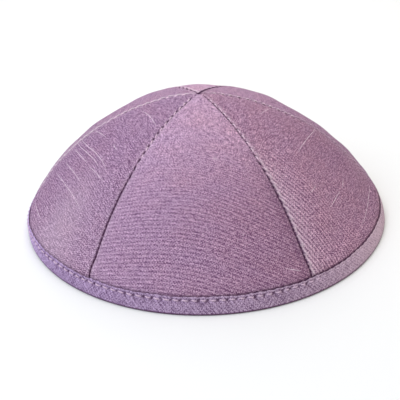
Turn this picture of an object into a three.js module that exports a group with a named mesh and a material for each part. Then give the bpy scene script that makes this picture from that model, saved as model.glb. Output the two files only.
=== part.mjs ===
// A cloth skullcap: six sewn panels that meet at the top, and a folded binding round the rim.
// Millimetres, +Z up. The origin is the centre of the rim, on the surface that the cap rests on,
// and the front panel faces -Y.

import * as THREE from "three";

// Driving dimensions
const RIM_RADIUS = 89.5; // to the outside of the binding, where the cap rests
const CROWN_HEIGHT = 57.5; // from the resting surface to the top of the cloth
const TOP_SHARPNESS = 1.02; // 1 gives a round top, more gives a more pointed one
const SIDE_SLOPE = 1.6; // 1 gives upright sides, more makes them lean in
const PANEL_FLATNESS = 2.2; // how far a panel's middle lies inside a true circle, below half way
const TOP_LEAN = 1.7; // how far the soft top has settled towards -X

const CLOTH_THICKNESS = 1.2; // outer cloth and backing together
const SEAM_DIP = 0.8; // how far the cloth rolls in where it meets a seam
const SEAM_ROLL = 1.3; // width of that roll, on each side of the seam
const SEAM_GAP = 0.3; // clear space between two panels
const TIP_RADIUS = 0.6; // where the panels' points stop short of the very top
const ALLOWANCE_WIDTH = 5.5; // cloth turned back along each seam, inside the cap
const ALLOWANCE_THICKNESS = 0.9;

const BINDING_WIDTH = 8; // what shows outside, measured up the cloth
const BINDING_INSIDE_WIDTH = 7.5;
const BINDING_THICKNESS = 1; // one folded leaf
const BINDING_CLEARANCE = 0.3; // between a leaf and the panels
const FOLD_ROUND = 0.6; // rounding of the binding's edges

// Each panel runs from its own seam to the next row's, counter-clockwise seen from above.
const PANELS = [
  { name: "panel_rear_right", seam: -1 },
  { name: "panel_rear", seam: 59 },
  { name: "panel_rear_left", seam: 121 },
  { name: "panel_front_left", seam: 181 },
  { name: "panel_front", seam: 235 },
  { name: "panel_front_right", seam: 298 },
];

// Mesh fineness
const ROWS_DOWN = 14;
const MIDDLE_COLUMNS = 5;
const WALK_STEPS = 600;
const BINDING_SECTIONS = 84;
const BINDING_ROWS = 2;

const FULL_TURN = 2 * Math.PI;
const QUARTER_TURN = Math.PI / 2;
const CLOTH_RADIUS = RIM_RADIUS - BINDING_THICKNESS - BINDING_CLEARANCE;

// The outline from the top of the crown to the rim, at an angle of 0 at the top and 90 degrees at the rim.
function outline(angle) {
  return {
    out: CLOTH_RADIUS * Math.sin(angle) ** TOP_SHARPNESS,
    height: CROWN_HEIGHT * Math.max(Math.cos(angle), 0) ** SIDE_SLOPE,
  };
}

// The outline again, walked in small steps, with the distance along the cloth at each step.
const WALK = [{ angle: 0, along: 0, ...outline(0) }];
for (let step = 1; step <= WALK_STEPS; step += 1) {
  const angle = (QUARTER_TURN * step) / WALK_STEPS;
  const here = outline(angle);
  const last = WALK[WALK.length - 1];
  const along = last.along + Math.hypot(here.out - last.out, here.height - last.height);
  WALK.push({ angle, along, ...here });
}
const CLOTH_LENGTH = WALK[WALK_STEPS].along;

// The place on the outline at a distance along the cloth from the top, with its outward normal.
function outlineAt(along) {
  const wanted = THREE.MathUtils.clamp(along, 0, CLOTH_LENGTH);
  const upper = Math.max(1, WALK.findIndex((place) => place.along >= wanted));
  const a = WALK[upper - 1];
  const b = WALK[upper];
  const share = (wanted - a.along) / (b.along - a.along);
  const step = b.along - a.along;
  return {
    out: THREE.MathUtils.lerp(a.out, b.out, share),
    height: THREE.MathUtils.lerp(a.height, b.height, share),
    normalOut: (a.height - b.height) / step,
    normalUp: (b.out - a.out) / step,
    share: wanted / CLOTH_LENGTH,
  };
}

const seamAngle = (index) => {
  const turns = Math.floor(index / PANELS.length);
  return THREE.MathUtils.degToRad(PANELS[index % PANELS.length].seam) + turns * FULL_TURN;
};

// Where a direction falls across its panel: -1 and 1 are the seams, 0 the middle.
function acrossPanel(direction) {
  const first = seamAngle(0);
  const wrapped = first + THREE.MathUtils.euclideanModulo(direction - first, FULL_TURN);
  let index = 0;
  while (wrapped > seamAngle(index + 1)) {
    index += 1;
  }
  return (2 * (wrapped - seamAngle(index))) / (seamAngle(index + 1) - seamAngle(index)) - 1;
}

// A point of the crown. depth is measured inwards from the outer face of the cloth, square to it
// above the binding and turning level at the rim, so that the rim's underside is flat.
function crownPoint(direction, across, along, depth) {
  const place = outlineAt(along);
  const level = THREE.MathUtils.smoothstep(CLOTH_LENGTH - along, 0, BINDING_WIDTH);
  const normalUp = place.normalUp * level;
  const normalOut = Math.sqrt(1 - normalUp ** 2);
  const middle = (1 + Math.cos(Math.PI * across)) / 2;
  const flat = PANEL_FLATNESS * Math.sin(Math.PI * place.share ** 1.5) * middle;
  const radius = place.out - flat - normalOut * depth;
  const lean = TOP_LEAN * (1 - place.share) ** 2;
  return new THREE.Vector3(
    radius * Math.cos(direction) - lean,
    radius * Math.sin(direction),
    place.height - normalUp * depth,
  );
}

// Rows down a panel, from its point to its lower edge inside the binding.
function rowsDown() {
  const top = WALK.find((place) => place.out >= TIP_RADIUS).along;
  const bottom = CLOTH_LENGTH - BINDING_THICKNESS - BINDING_CLEARANCE;
  const bindingTop = CLOTH_LENGTH - BINDING_INSIDE_WIDTH - BINDING_CLEARANCE;
  const rows = [];
  for (let row = 0; row < ROWS_DOWN; row += 1) {
    rows.push({ along: THREE.MathUtils.lerp(top, bindingTop, row / (ROWS_DOWN - 1)), turned: true });
  }
  for (let row = 0; row <= BINDING_ROWS; row += 1) {
    const share = row / BINDING_ROWS;
    const start = bindingTop + BINDING_CLEARANCE;
    rows.push({ along: THREE.MathUtils.lerp(start, bottom, share), turned: false });
  }
  return rows;
}

// Columns from a seam to the middle of a panel. The first ones keep their distance from the seam,
// drawn closer together where the panel narrows, and the rest share out what is left.
function columnsAcross(halfWidth) {
  const edge = ALLOWANCE_WIDTH + ALLOWANCE_THICKNESS;
  const squeeze = Math.min(1, halfWidth / 2 / edge);
  const columns = [
    { distance: 0, turned: true },
    { distance: SEAM_ROLL / 2, turned: true },
    { distance: SEAM_ROLL, turned: true },
    { distance: ALLOWANCE_WIDTH, turned: true },
    { distance: edge, turned: false },
  ].map(({ distance, turned }) => ({ distance: distance * squeeze, turned }));
  const start = edge * squeeze;
  for (let step = 1; step <= MIDDLE_COLUMNS; step += 1) {
    const distance = THREE.MathUtils.lerp(start, halfWidth, step / MIDDLE_COLUMNS);
    columns.push({ distance, turned: false });
  }
  return columns;
}

// How far the cloth rolls in at a distance from the seam.
function seamDip(distance) {
  const left = Math.max(0, 1 - distance / SEAM_ROLL);
  return SEAM_DIP * left ** 2;
}

// One panel: an outer and an inner skin over the same rows and columns.
function panelGeometry(index) {
  const from = seamAngle(index);
  const to = seamAngle(index + 1);
  const middle = (from + to) / 2;
  const halfAngle = (to - from) / 2;
  const outer = [];
  const inner = [];
  for (const row of rowsDown()) {
    const radius = outlineAt(row.along).out;
    const clear = Math.asin(SEAM_GAP / 2 / radius);
    const columns = columnsAcross(radius * (halfAngle - clear));
    const left = columns.map((column) => ({ ...column, side: -1 }));
    const right = columns.slice(0, -1).reverse();
    const across = [...left, ...right.map((column) => ({ ...column, side: 1 }))];
    const points = across.map(({ distance, turned, side }) => {
      const turn = side * (halfAngle - clear - distance / radius);
      const allowance = row.turned && turned ? ALLOWANCE_THICKNESS : 0;
      const dip = row.turned ? seamDip(distance) : 0;
      const at = (depth) => crownPoint(middle + turn, turn / halfAngle, row.along, depth);
      return { outer: at(dip), inner: at(CLOTH_THICKNESS + allowance) };
    });
    outer.push(points.map((point) => point.outer));
    inner.push(points.map((point) => point.inner));
  }
  return closedSheet(outer, inner);
}

// Joins two facing grids of points into one closed solid. Rows run down, columns counter-clockwise.
function closedSheet(outer, inner) {
  const rows = outer.length;
  const columns = outer[0].length;
  const points = [...outer.flat(), ...inner.flat()];
  const front = (row, column) => row * columns + column;
  const back = (row, column) => rows * columns + front(row, column);
  const faces = [];
  const quad = (a, b, c, d) => faces.push(a, b, c, a, c, d);
  for (let i = 0; i < rows - 1; i += 1) {
    for (let j = 0; j < columns - 1; j += 1) {
      quad(front(i, j), front(i + 1, j), front(i + 1, j + 1), front(i, j + 1));
      quad(back(i, j + 1), back(i + 1, j + 1), back(i + 1, j), back(i, j));
    }
  }
  const border = [];
  for (let i = 0; i < rows - 1; i += 1) border.push([i, 0]);
  for (let j = 0; j < columns - 1; j += 1) border.push([rows - 1, j]);
  for (let i = rows - 1; i > 0; i -= 1) border.push([i, columns - 1]);
  for (let j = columns - 1; j > 0; j -= 1) border.push([0, j]);
  border.forEach((here, k) => {
    const next = border[(k + 1) % border.length];
    quad(front(...next), front(...here), back(...here), back(...next));
  });
  return geometryOf(points, faces);
}

function geometryOf(points, faces) {
  const geometry = new THREE.BufferGeometry().setFromPoints(points);
  geometry.setIndex(faces);
  geometry.computeVertexNormals();
  return geometry;
}

// The binding's folded section, as places up the cloth from the rim and depths into it. It starts at
// the top of the outer leaf and runs down outside, under the rim, up inside and back round the slot.
function bindingSection() {
  const outside = -BINDING_CLEARANCE - BINDING_THICKNESS;
  const slotOutside = -BINDING_CLEARANCE;
  const slotInside = CLOTH_THICKNESS + BINDING_CLEARANCE;
  const inside = slotInside + BINDING_THICKNESS;
  const evenly = (start, end) =>
    Array.from({ length: BINDING_ROWS + 1 }, (_, row) => THREE.MathUtils.lerp(start, end, row / BINDING_ROWS));
  const foldTop = BINDING_THICKNESS;
  return [
    { up: BINDING_WIDTH, depth: (outside + slotOutside) / 2 },
    ...evenly(BINDING_WIDTH - FOLD_ROUND, FOLD_ROUND).map((up) => ({ up, depth: outside })),
    { up: 0, depth: outside + FOLD_ROUND },
    { up: 0, depth: inside - FOLD_ROUND },
    ...evenly(FOLD_ROUND, BINDING_INSIDE_WIDTH - FOLD_ROUND).map((up) => ({ up, depth: inside })),
    { up: BINDING_INSIDE_WIDTH, depth: (inside + slotInside) / 2 },
    ...evenly(BINDING_INSIDE_WIDTH - FOLD_ROUND / 2, foldTop).map((up) => ({ up, depth: slotInside })),
    ...evenly(foldTop, BINDING_WIDTH - FOLD_ROUND / 2).map((up) => ({ up, depth: slotOutside })),
  ];
}

// The binding: its section carried once round the rim.
function bindingGeometry() {
  const section = bindingSection();
  const count = section.length;
  const points = [];
  const faces = [];
  for (let k = 0; k < BINDING_SECTIONS; k += 1) {
    const direction = (FULL_TURN * k) / BINDING_SECTIONS;
    const across = acrossPanel(direction);
    for (const { up, depth } of section) {
      points.push(crownPoint(direction, across, CLOTH_LENGTH - up, depth));
    }
  }
  for (let k = 0; k < BINDING_SECTIONS; k += 1) {
    const here = k * count;
    const next = ((k + 1) % BINDING_SECTIONS) * count;
    for (let p = 0; p < count; p += 1) {
      const q = (p + 1) % count;
      faces.push(here + p, here + q, next + q, here + p, next + q, next + p);
    }
  }
  return geometryOf(points, faces);
}

function cloth(color) {
  return new THREE.MeshStandardMaterial({ color, roughness: 0.62, metalness: 0 });
}

const PANEL_COLOUR = 0xab85ac;
const BINDING_COLOUR = 0x9c80aa;

const cap = new THREE.Group();
PANELS.forEach(({ name }, index) => {
  const panel = new THREE.Mesh(panelGeometry(index), cloth(PANEL_COLOUR));
  panel.name = name;
  cap.add(panel);
});

const binding = new THREE.Mesh(bindingGeometry(), cloth(BINDING_COLOUR));
binding.name = "rim_binding";
cap.add(binding);

export default cap;
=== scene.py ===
# %% [markdown]
# The cap
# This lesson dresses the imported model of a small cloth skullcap: six pointed panels of slubbed lilac
# cloth, sewn edge to edge, with a bias tape folded over the rim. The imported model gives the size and
# the place of each piece, and every piece below is a new mesh laid over the same dome.

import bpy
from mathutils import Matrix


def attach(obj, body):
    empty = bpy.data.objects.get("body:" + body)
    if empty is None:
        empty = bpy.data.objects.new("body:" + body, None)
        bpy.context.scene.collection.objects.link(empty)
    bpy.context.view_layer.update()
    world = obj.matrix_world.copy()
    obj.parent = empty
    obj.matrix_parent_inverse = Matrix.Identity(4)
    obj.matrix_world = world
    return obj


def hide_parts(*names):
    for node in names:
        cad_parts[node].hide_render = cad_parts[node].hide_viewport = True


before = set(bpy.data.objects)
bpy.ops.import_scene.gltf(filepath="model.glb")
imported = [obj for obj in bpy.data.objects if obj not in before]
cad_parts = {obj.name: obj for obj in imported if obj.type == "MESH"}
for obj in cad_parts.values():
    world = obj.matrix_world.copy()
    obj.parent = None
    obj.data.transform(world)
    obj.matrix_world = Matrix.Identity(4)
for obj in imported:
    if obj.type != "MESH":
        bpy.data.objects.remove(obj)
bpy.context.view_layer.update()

# %% Libraries
import math

import bpy
import numpy as np
from mathutils import Matrix, Vector

# %% [markdown]
# Camera
# The cap was photographed from in front and above, with a camera held a degree or two off level. The
# same view is set first, so that each piece can be judged as soon as it is there. A lens of about
# 52 mm on a 36 mm sensor at 0.3 m gives the same narrowing towards the back as the photograph.

# %% Camera
CAMERA_DISTANCE = 0.3005
CAMERA_ELEVATION = math.radians(30.26)
CAMERA_ROLL = math.radians(-1.98)
LOOK_AT = Vector((-0.0028, 0.0, -0.0002))

camera_data = bpy.data.cameras.new("camera")
camera_data.lens = 52.25
camera_data.sensor_width = 36.0
camera = bpy.data.objects.new("camera", camera_data)
bpy.context.scene.collection.objects.link(camera)
backwards = Vector((0.0, -math.cos(CAMERA_ELEVATION), math.sin(CAMERA_ELEVATION)))
tilt = Matrix.Rotation(math.pi / 2 - CAMERA_ELEVATION, 4, "X")
roll = Matrix.Rotation(CAMERA_ROLL, 4, "Z")
camera.matrix_world = Matrix.Translation(LOOK_AT + backwards * CAMERA_DISTANCE) @ tilt @ roll
bpy.context.scene.camera = camera
print("camera stands at", tuple(round(value, 4) for value in camera.location))

# %% [markdown]
# The dome
# A cap has no pattern block that can be measured, so one curve from the top to the rim describes it,
# and every piece is laid out by three numbers: the direction round the cap, the distance along the
# cloth from the top, and the lift off the cloth. A lathe would make the same dome faster, but the
# panels are a little flat in the middle, and this way the seams, the binding and the stitches all
# follow that. Lengths are in millimetres until a mesh is made.

# %% Curve from the top to the rim
MM = 0.001
CLOTH_RADIUS = 88.75
CROWN_HEIGHT = 57.5
TOP_SHARPNESS = 1.02
SIDE_SLOPE = 1.6
PANEL_FLATNESS = 2.2
TOP_LEAN = 1.7
BINDING_WIDTH = 6.9
EDGE_STITCHES = 147

curve_angle = np.linspace(0.0, math.pi / 2, 4001)
CURVE_OUT = CLOTH_RADIUS * np.sin(curve_angle) ** TOP_SHARPNESS
CURVE_UP = CROWN_HEIGHT * np.clip(np.cos(curve_angle), 0.0, 1.0) ** SIDE_SLOPE
curve_steps = np.hypot(np.diff(CURVE_OUT), np.diff(CURVE_UP))
CURVE_ALONG = np.concatenate([[0.0], np.cumsum(curve_steps)])
CURVE_NORMAL_UP = np.gradient(CURVE_OUT, CURVE_ALONG).clip(0.0, 1.0)
CLOTH_LENGTH = CURVE_ALONG[-1]
print(f"cloth from the top to the rim: {CLOTH_LENGTH:.1f} mm")


# %% Soft steps and humps
def smooth_step(value, low, high):
    share = np.clip((value - low) / (high - low), 0.0, 1.0)
    return share * share * (3.0 - 2.0 * share)


def hump(value, centre, reach):
    """1 at the centre, sinking softly to nearly 0 at twice the reach on both sides."""
    return np.exp(-(((value - centre) / reach) ** 2))


def towards(direction, degrees, spread):
    """1 in one direction from the cap's middle, sinking softly on both sides of it."""
    return np.exp((np.cos(direction - math.radians(degrees)) - 1.0) / spread)


def sum_towards(direction, places):
    """The sum of several swells, each given by its direction, its size and its spread."""
    return sum(size * towards(direction, centre, spread) for centre, size, spread in places)


print("a hump at its reach and at twice that:", hump(1, 0, 1).round(3), hump(2, 0, 1).round(3))

# %% A point of the dome
BULGES = [(201.0, 2.3, 0.06), (341.0, 0.8, 0.06)]
BULGE_REACH = 6.5
WALL_FULLNESS = [(157.0, 1.2, 0.14)]
RIM_TUCKS = [(177.0, 1.4, 0.035), (3.0, 1.0, 0.035)]
TUCK_REACH = 9.0
SEAM_BEND = [(235.0, math.radians(1.1), 0.06)]


def side_bulge(direction, along):
    """The soft wall stands out over the binding on both sides, and the rim turns in behind."""
    above_rim = CLOTH_LENGTH - along
    rise = smooth_step(above_rim, 0.0, BINDING_WIDTH)
    fall = hump(np.maximum(above_rim - BINDING_WIDTH, 0.0), 0.0, BULGE_REACH)
    up_the_wall = np.sin(math.pi * np.clip(along / CLOTH_LENGTH, 0.0, 1.0) ** 1.3)
    fuller = sum_towards(direction, WALL_FULLNESS) * up_the_wall
    tuck = sum_towards(direction, RIM_TUCKS) * hump(above_rim, 0.0, TUCK_REACH)
    return sum_towards(direction, BULGES) * rise * fall + fuller - tuck


def bent(direction, along):
    """The front left seam was sewn a little crooked, and draws the cloth beside it along."""
    sideways = np.sin(math.pi * (along / CLOTH_LENGTH) ** 1.2)
    return direction - sideways * sum_towards(direction, SEAM_BEND)


def dome_out(along):
    return np.interp(along, CURVE_ALONG, CURVE_OUT)


def dome_point(direction, across, along, lift):
    """across is -1 and 1 at a panel's seams and 0 in its middle."""
    direction = bent(direction, along)
    up = np.interp(along, CURVE_ALONG, CURVE_UP)
    normal_up = np.interp(along, CURVE_ALONG, CURVE_NORMAL_UP)
    normal_up = normal_up * smooth_step(CLOTH_LENGTH - along, 0.0, BINDING_WIDTH)
    normal_out = np.sqrt(1.0 - normal_up**2)
    share = along / CLOTH_LENGTH
    flat = PANEL_FLATNESS * np.sin(math.pi * share**1.5) * (1.0 + np.cos(math.pi * across)) / 2
    radius = dome_out(along) - flat + side_bulge(direction, along) + normal_out * lift
    lean = TOP_LEAN * (1.0 - share) ** 2
    x = radius * np.cos(direction) - lean
    y = radius * np.sin(direction)
    z = up + normal_up * lift
    return np.stack([x, y, z], axis=-1)


# %% [markdown]
# Panels round the cap
# Six panels, each from its own seam to the next one, counter-clockwise from above. The angles aren't
# even: hand-cut panels never are, and the seams of the photographed cap were read one by one. Each row
# gives the panel's first seam and its grain, both in degrees, how its threads bow in the left and the
# right half, the pitch of its ribs, its hue, a painted tint of the lamps, in the middle and its change
# to the side, and its painted light and shade at the top, at the rim and to the side.

# %% Panels and seams
PANEL_TRAITS = ("name", "seam", "grain", "bow", "rib", "hue", "light_and_shade")
PANEL_ROWS = [
    ("panel_rear_right", -1, 2.0, (0.0, 0.0), 1.4, (0.0, 0.0), (0.02, -0.06, 0.08)),
    ("panel_rear", 61, -4.0, (0.0, 0.0), 1.6, (-0.1, 0.0), (0.32, 0.0, 0.0)),
    ("panel_rear_left", 121, 3.0, (0.0, 0.0), 1.3, (0.2, 0.0), (0.0, -0.06, -0.08)),
    ("panel_front_left", 181, 3.5, (0.0, 0.0), 1.16, (0.4, 0.0), (-0.11, -0.09, 0.045)),
    ("panel_front", 235.4, 13.0, (0.004, 0.003), 1.62, (0.15, -0.55), (0.245, -0.01, -0.085)),
    ("panel_front_right", 298.5, -3.5, (0.0, 0.0), 1.3, (-0.35, 0.0), (-0.11, -0.085, -0.12)),
]
PANELS = [dict(zip(PANEL_TRAITS, row)) for row in PANEL_ROWS]
for number, panel in enumerate(PANELS):
    following = PANELS[(number + 1) % len(PANELS)]["seam"]
    panel["number"] = number
    panel["start"] = math.radians(panel["seam"])
    panel["end"] = math.radians(following + (360 if following <= panel["seam"] else 0))
    panel["middle"] = (panel["start"] + panel["end"]) / 2
    panel["half"] = (panel["end"] - panel["start"]) / 2
    print(panel["name"], "spans", round(math.degrees(2 * panel["half"])), "degrees")


# %% Where a direction falls across its panel
def across_panel(direction):
    turn = np.mod(direction - PANELS[0]["start"], 2 * math.pi) + PANELS[0]["start"]
    across = np.zeros_like(turn)
    for panel in PANELS:
        here = (turn >= panel["start"]) & (turn < panel["end"])
        across[here] = (turn[here] - panel["middle"]) / panel["half"]
    return across


def rim_point(turn, up, lift):
    """A point of the dome by its height above the rim, along the cloth."""
    return dome_point(turn, across_panel(turn), CLOTH_LENGTH - up, lift)


# %% [markdown]
# Soft unevenness
# Worn cloth is never a perfect dome: it swells and sinks by a few tenths of a millimetre over one or
# two centimetres. A handful of long sine waves in random directions gives that without a noise library,
# and the random numbers come from one seeded generator, so the cap is the same each time.

# %% Long waves in the cloth
random = np.random.default_rng(41)
LUMP_WAVES = 16
wave_way = random.normal(size=(LUMP_WAVES, 3))
wave_way /= np.linalg.norm(wave_way, axis=1)[:, None]
wave_length = random.uniform(14.0, 34.0, LUMP_WAVES)
wave_start = random.uniform(0.0, 2 * math.pi, LUMP_WAVES)


def soft_lumps(points):
    total = np.zeros(points.shape[:-1])
    for way, length, start in zip(wave_way, wave_length, wave_start):
        total += np.sin(points @ way * (2 * math.pi / length) + start)
    return total / math.sqrt(LUMP_WAVES / 2)


print("lumps, shortest and longest:", wave_length.min().round(1), wave_length.max().round(1))

# %% [markdown]
# Relief at a seam
# Two panels are sewn right sides together and opened out, so the cloth rolls down into the seam on both
# sides. The sewing thread pulls at each stitch, and the cloth puffs up between two stitches. A bevel
# would give an even groove, so the roll, the wide soft hollow and the puffs are written as lifts of the
# cloth, by the distance from the seam and the distance along it. No two seams were sewn alike, so each
# has a row: how far it grins open, how deep its hollow is, how dark its line of painted shade is and how
# wide, how much of the puffs is left in its lower half, where its thread lies and at which stitch that
# starts to show, how dark the line starts at the tip, half a stitch's length, and for the cloth on its
# left and right bank how puffed, how pale with painted sheen and how dark with painted shade that is.

# %% Traits of each seam
SEAM_STITCH = 3.9
SEAM_SHIFT = 1.37
SEAM_TRAITS = ("grin", "hollow", "dark", "wide", "low", "thread", "first", "tip", "half", "left", "right")
BANK_TRAITS = ("puff", "pale", "shade")
SEAM_ROWS = [
    (0.5, 0.8, 1.0, 0.0, 1.0, 0.30, 1, 1.0, 0.85, (1.0, 0.25, 0.0), (1.0, 0.5, 0.0)),
    (0.1, 1.0, 2.2, 1.3, 1.0, 0.0, 6, 1.0, 0.85, (1.0, 0.2, 0.0), (1.0, 0.5, 0.0)),
    (0.3, 0.5, 1.2, 0.3, 1.0, 0.1, 6, 1.0, 0.85, (1.0, 1.2, 0.0), (1.0, 0.3, 0.0)),
    (0.6, 0.1, 0.35, 0.0, 1.0, 0.3, 0, 1.0, 0.85, (0.8, 1.35, 0.0), (0.8, 0.2, 0.0)),
    (1.0, 1.0, 1.0, 0.45, 0.3, 0.0, 0, 0.0, 1.0, (1.0, 0.15, 0.03), (0.8, 0.2, 0.0)),
    (1.0, 1.0, 1.0, 0.30, 0.8, 0.42, 0, 0.0, 1.0, (0.5, 0.1, 0.26), (1.2, 0.65, 0.0)),
]
SEAMS = [dict(zip(SEAM_TRAITS, row)) for row in SEAM_ROWS]
for seam in SEAMS:
    for bank in ("left", "right"):
        seam[bank] = dict(zip(BANK_TRAITS, seam[bank]))
print("seams:", len(SEAMS))


def seam_trait(panel, turn, trait):
    """A trait of the nearer seam, or the puff or pale of the bank on this panel's side of it."""
    first = SEAMS[panel["number"]]
    second = SEAMS[(panel["number"] + 1) % len(SEAMS)]
    if trait in first:
        return np.where(turn < 0, first[trait], second[trait])
    return np.where(turn < 0, first["right"][trait], second["left"][trait])


def stitch_angle(panel, turn, along):
    """Runs through a full circle from each stitch of the nearer seam to the next."""
    number = np.where(turn < 0, panel["number"], (panel["number"] + 1) % len(PANELS))
    return 2 * math.pi * (along - SEAM_SHIFT * number) / SEAM_STITCH


def stitch_beat(panel, turn, along):
    """1 at a stitch of the nearer seam and -1 half way to the next."""
    return np.cos(stitch_angle(panel, turn, along))


def seam_closed(panel, turn, along):
    """How far the stitches hold the seam shut: near 1 at a stitch of a seam that grins."""
    share = along / CLOTH_LENGTH
    grin = seam_trait(panel, turn, "grin") * (1.0 - 0.85 * smooth_step(share, 0.45, 0.62))
    return grin * smooth_step(stitch_beat(panel, turn, along), -0.1, 0.8)


# %% Seam relief
SEAM_GAP = 0.05
SEAM_ROLL = 0.95
SEAM_DEPTH = 0.85
HOLLOW_DEPTH = 1.0
HOLLOW_REACH = 9.0
HOLLOW_FULL_AT = 40.0
PUFF_HEIGHT = 0.16
PUFF_REACH = 1.9
DRAG_HEIGHT = 0.07
DRAG_REACH = 4.5


def seam_relief(panel, turn, edge, along):
    inside = np.clip(1.0 - edge / SEAM_ROLL, 0.0, 1.0)
    roll = -SEAM_DEPTH * (1.0 - np.sqrt(1.0 - inside**2))
    roll = roll * (1.0 - 0.6 * seam_closed(panel, turn, along))
    hollow = -HOLLOW_DEPTH * seam_trait(panel, turn, "hollow") * hump(edge, 0.0, HOLLOW_REACH)
    hollow = hollow * smooth_step(along, 2.0, HOLLOW_FULL_AT)
    lower = smooth_step(along / CLOTH_LENGTH, 0.45, 0.65)
    calmer = 1.0 - (1.0 - seam_trait(panel, turn, "low")) * lower
    puff = seam_trait(panel, turn, "puff") * -stitch_beat(panel, turn, along) * calmer
    near = PUFF_HEIGHT * hump(edge, 0.0, PUFF_REACH)
    wide = DRAG_HEIGHT * hump(edge, 0.0, DRAG_REACH)
    top = smooth_step(along, 2.0, 14.0)
    rim = smooth_step(CLOTH_LENGTH - along, BINDING_WIDTH - 2.0, BINDING_WIDTH + 10.0)
    return roll * (0.2 + 0.8 * top) + hollow * rim + puff * (near + wide) * top * rim


# %% [markdown]
# The cut cloth
# A panel is cut flat and then bent, so its threads run straight on the flat piece and curve on the cap.
# Unrolling each row of the panel about its own centre gives each point its place on the flat piece, in
# millimetres. It becomes the UV map that the weave, the ribs and the slubs are drawn in.


# %% Places on the flat piece
GRAIN_CENTRE = 0.6


def unroll(along):
    """A row's radius on the flat piece, and the share of its turn that is left there."""
    widening = np.interp(along, CURVE_ALONG, CURVE_NORMAL_UP).clip(0.02, 1.0)
    return dome_out(along) / widening, widening


def flat_cloth(panel, turn, along):
    """Returns the place across and up the cut piece, turned by the panel's grain."""
    unrolled, widening = unroll(along)
    across = unrolled * np.sin(turn * widening)
    down = along - unrolled * (1.0 - np.cos(turn * widening))
    bow = np.where(across < 0, panel["bow"][0], panel["bow"][1]) * across**2
    grain = math.radians(panel["grain"])
    middle = CLOTH_LENGTH * GRAIN_CENTRE
    weft = across * math.cos(grain) + (down - middle) * math.sin(grain)
    warp = across * math.sin(grain) - (down - middle) * math.cos(grain) + bow
    return np.stack([weft, warp], axis=-1)


# %% [markdown]
# Grid of a panel
# Rows go down the panel and columns across it. The cloth bends sharply beside a seam and gently in the
# middle, so the first columns keep their distance from the seam and the others share out the rest.

# %% Rows and columns
SEAM_COLUMNS = np.array([0, 0.05, 0.13, 0.24, 0.4, 0.6, 0.85, 1.15, 1.5, 2.0, 2.6, 3.3, 4.1, 5.0, 6.0, 7.2])
INSIDE_COLUMNS = np.array([0, 0.25, 0.8, 2.4, 4.2, 5.1, 5.5, 5.75, 6.1, 7.2])


def panel_grid(panel, rows, beside_seam, steps):
    """Returns turn from the panel's middle, distance from the nearer seam, and along, as grids."""
    out = dome_out(rows)[:, None]
    reach = panel["half"] - np.arcsin(SEAM_GAP / 2 / out)
    half_width = out * reach
    squeeze = np.minimum(1.0, half_width / 2 / beside_seam[-1])
    start = beside_seam[-1] * squeeze
    shares = np.arange(1, steps + 1) / steps
    edge = np.concatenate([beside_seam * squeeze, start + (half_width - start) * shares], axis=1)
    turn = edge / out - reach
    turn = np.concatenate([turn, -turn[:, -2::-1]], axis=1)
    edge = np.concatenate([edge, edge[:, -2::-1]], axis=1)
    along = np.repeat(rows[:, None], turn.shape[1], axis=1)
    return turn, edge, along


# %% [markdown]
# Skins of a panel
# The outer skin carries the relief. The inner skin follows the same soft lumps one thickness below, and
# steps in further where the cloth is turned back along the seam, as the seam allowance of a real cap
# does. Both are then joined round the edge, so a panel is a closed piece of cloth with a thickness.

# %% Outer and inner skin
CLOTH_THICKNESS = 0.9
ALLOWANCE_WIDTH = 5.5
ALLOWANCE_THICKNESS = 0.6
LUMP_HEIGHT = 0.14
RIB_HEIGHT = 0.028
LINE_PITCH = 1.55
BINDING_PULL = 0.20
BINDING_PULL_REACH = 0.8
BINDING_SWELL = 0.45
BINDING_SWELL_AT = 4.0
BINDING_SWELL_REACH = 2.8
TIP = 0.5


def panel_lumps(panel, turn, along):
    base = dome_point(panel["middle"] + turn, turn / panel["half"], along, 0.0)
    still = smooth_step(CLOTH_LENGTH - along, 3.0, 16.0)
    return LUMP_HEIGHT * soft_lumps(base) * still


def rib_phase(panel, flat):
    """The ribs across the panel and the finer lines down it, as phases that wander a little."""
    across = flat[..., 0]
    up = flat[..., 1]
    wander = 1.1 * np.sin(across / 9.0 + panel["number"]) + 0.8 * np.sin(up / 6.5)
    lines = 1.3 * np.sin(up / 11.0 + panel["number"]) + 0.7 * np.sin(across / 5.0)
    return 2 * math.pi * up / panel["rib"] + wander, 2 * math.pi * across / LINE_PITCH + lines


def outer_lift(panel, turn, edge, along):
    lift = panel_lumps(panel, turn, along) + seam_relief(panel, turn, edge, along)
    ribs = np.sin(rib_phase(panel, flat_cloth(panel, turn, along))[0])
    calm = smooth_step(edge, 0.8, 3.0) * smooth_step(along, 12.0, 60.0)
    lift += RIB_HEIGHT * ribs * calm
    above_binding = CLOTH_LENGTH - BINDING_WIDTH - along
    lift -= BINDING_PULL * hump(above_binding, 0.0, BINDING_PULL_REACH)
    lift += BINDING_SWELL * hump(above_binding, BINDING_SWELL_AT, BINDING_SWELL_REACH)
    return lift


def inner_lift(panel, turn, edge, along):
    turned = smooth_step(edge, ALLOWANCE_WIDTH + 0.3, ALLOWANCE_WIDTH)
    turned *= smooth_step(CLOTH_LENGTH - along, BINDING_WIDTH - 1.5, BINDING_WIDTH)
    return panel_lumps(panel, turn, along) - CLOTH_THICKNESS - ALLOWANCE_THICKNESS * turned


# %% Join two skins
def grid_faces(first, rows, columns, outwards):
    row, column = np.meshgrid(np.arange(rows - 1), np.arange(columns - 1), indexing="ij")
    a = first + row * columns + column
    quads = np.stack([a, a + columns, a + columns + 1, a + 1], axis=-1).reshape(-1, 4)
    return (quads if outwards else quads[:, ::-1]).tolist()


def border(first, rows, columns):
    """The four sides of a grid, each as a chain of points, in one direction round it."""
    number = first + np.arange(rows * columns).reshape(rows, columns)
    return [number[:, 0], number[-1, :], number[::-1, -1], number[0, ::-1]]


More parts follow.
